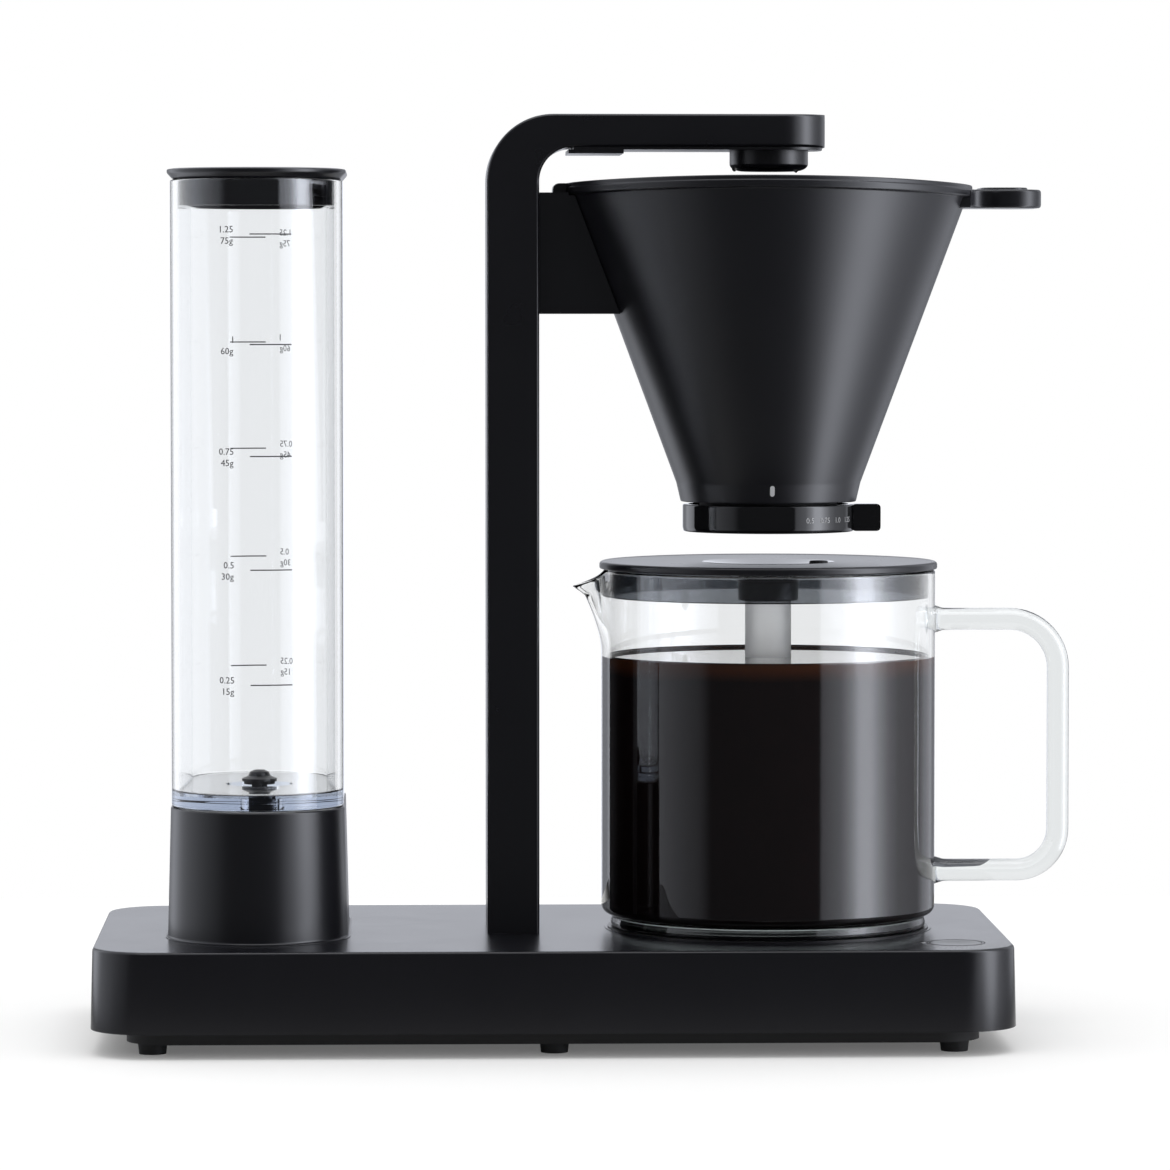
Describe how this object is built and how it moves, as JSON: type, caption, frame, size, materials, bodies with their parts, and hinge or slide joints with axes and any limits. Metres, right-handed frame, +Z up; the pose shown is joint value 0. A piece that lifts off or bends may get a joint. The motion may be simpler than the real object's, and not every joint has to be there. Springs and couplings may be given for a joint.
{
  "type": "drip filter coffee maker",
  "caption": "Drip filter coffee maker: flat base, clear water tank, column with arm, hanging filter basket with a flow ring, and a glass carafe with a lid on a warming plate.",
  "frame": {"origin": "middle of the whole footprint, on the surface that the feet stand on", "axes": "+Z up, the front faces -Y, +X runs along the base from the tank to the carafe"},
  "size_m": [0.369, 0.1749, 0.3474],
  "materials": {
    "black_plastic": "satin black moulding",
    "gloss_black": "gloss black moulding",
    "black_rubber": "soft, matt",
    "screw_steel": "plain steel",
    "coated_metal": "dark non-stick coat",
    "cast_aluminium": "as cast",
    "element_steel": "heater tube",
    "white_ceramic": "ceramic body",
    "silicone": "translucent silicone",
    "white_plastic": "natural moulding",
    "board_green": "circuit board",
    "component_black": "relay, capacitor and chip bodies",
    "clear_guide": "clear rod",
    "clear_tank": "clear plastic of the tank",
    "carafe_glass": "clear glass",
    "smoke_grey": "translucent grey plastic",
    "grey_plastic": "grey moulding"
  },
  "bodies": {
    "base": {"base_housing": "black_plastic", "bottom_cover": "black_plastic", "rubber_feet": "black_rubber", "bottom_screws": "screw_steel", "warming_plate": "coated_metal", "plate_gasket": "black_rubber", "plate_screws": "screw_steel", "flow_heater": "cast_aluminium", "heater_element": "element_steel", "heater_clamp": "screw_steel", "clamp_nut": "screw_steel", "thermostats": "white_ceramic", "thermal_fuse": "white_ceramic", "feed_hose": "silicone", "check_valve": "white_plastic", "riser_hose": "silicone", "hose_clamps": "screw_steel", "control_board": "board_green", "board_parts": "component_black", "terminal_block": "white_plastic", "cord_inlet": "black_plastic", "switch_board": "board_green", "button_spring": "screw_steel", "light_guide": "clear_guide", "tank_socket": "black_plastic", "socket_screws": "screw_steel", "column": "black_plastic", "column_clamp": "screw_steel", "column_bolts": "screw_steel", "arm_cover": "black_plastic", "arm_screws": "screw_steel", "spray_head": "gloss_black", "spray_plate": "white_plastic", "spray_nut": "white_plastic", "spray_elbow": "white_plastic", "basket_bracket": "black_plastic", "bracket_screws": "screw_steel"},
    "tank": {"tank_body": "clear_tank", "spigot_seal": "black_rubber", "valve_spring": "screw_steel"},
    "tank_valve": {"tank_valve": "black_plastic", "valve_washer": "black_rubber"},
    "tank_lid": {"tank_lid": "black_plastic"},
    "basket": {"filter_basket": "black_plastic", "basket_grip": "black_plastic", "ring_clip": "screw_steel"},
    "flow_ring": {"flow_ring": "gloss_black", "valve_disc": "black_rubber"},
    "carafe": {"carafe_glass": "carafe_glass", "carafe_handle": "carafe_glass"},
    "carafe_lid": {"carafe_lid": "black_plastic", "lid_skirt": "smoke_grey", "mixing_tube": "grey_plastic"},
    "power_button": {"power_button": "black_plastic"}
  },
  "joints": [
    {"name": "tank_lift", "type": "slide", "parent": "base", "child": "tank", "axis": [0, 0, 1], "range_m": [0, 0.06]},
    {"name": "tank_valve_drop", "type": "slide", "parent": "tank", "child": "tank_valve", "axis": [0, 0, 1], "range_m": [-0.0035, 0], "deforming": ["valve_spring"]},
    {"name": "tank_lid_lift", "type": "slide", "parent": "tank", "child": "tank_lid", "axis": [0, 0, 1], "range_m": [0, 0.04]},
    {"name": "basket_slide", "type": "slide", "parent": "base", "child": "basket", "axis": [1, 0, 0], "range_m": [0, 0.11]},
    {"name": "flow_ring_turn", "type": "hinge", "parent": "basket", "child": "flow_ring", "pos_m": [0.06975, 0, 0.195], "axis": [0, 0, 1], "range_deg": [-72, 0]},
    {"name": "carafe_slide", "type": "slide", "parent": "base", "child": "carafe", "axis": [0, -1, 0], "range_m": [0, 0.16]},
    {"name": "carafe_lid_lift", "type": "slide", "parent": "carafe", "child": "carafe_lid", "axis": [0, 0, 1], "range_m": [0, 0.01]},
    {"name": "button_press", "type": "slide", "parent": "base", "child": "power_button", "axis": [0, 0, -1], "range_m": [0, 0.001], "stiffness_N_per_m": 600, "springref_m": -0.001, "deforming": ["button_spring"]}
  ],
  "couplings": [
    {"joint": "tank_valve_drop", "follows": "tank_lift", "ratio": -0.0583}
  ]
}
